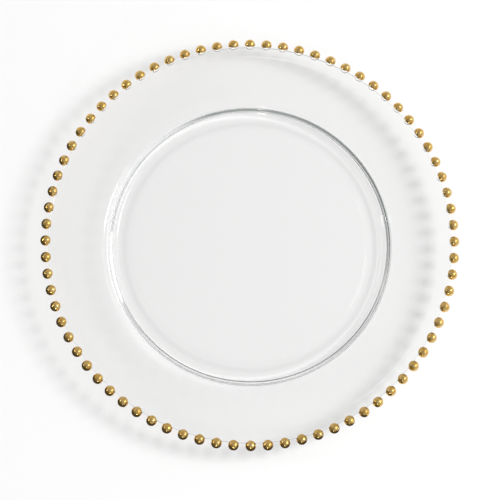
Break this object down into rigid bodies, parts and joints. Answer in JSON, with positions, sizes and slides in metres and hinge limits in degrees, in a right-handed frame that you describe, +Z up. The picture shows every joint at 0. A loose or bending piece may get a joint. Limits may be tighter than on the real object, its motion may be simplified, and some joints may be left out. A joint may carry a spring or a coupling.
{
  "type": "charger plate",
  "caption": "Round clear pressed-glass charger plate: flat well, short curved wall, wide gently sloped rim edged with gilded glass beads.",
  "frame": {"origin": "centre of the foot ring, in the plane of the table", "axes": "+Z up, the plate's axis of revolution; one bead centre lies on +X"},
  "size_m": [0.33, 0.33, 0.0257],
  "materials": {
    "clear_glass": "clear pressed soda-lime glass, fire-polished",
    "gold_gilding": "hand-applied metallic gold, glossy and slightly uneven"
  },
  "bodies": {
    "root": {"glass_plate": "clear_glass", "bead_gilding": "gold_gilding"}
  },
  "joints": []
}
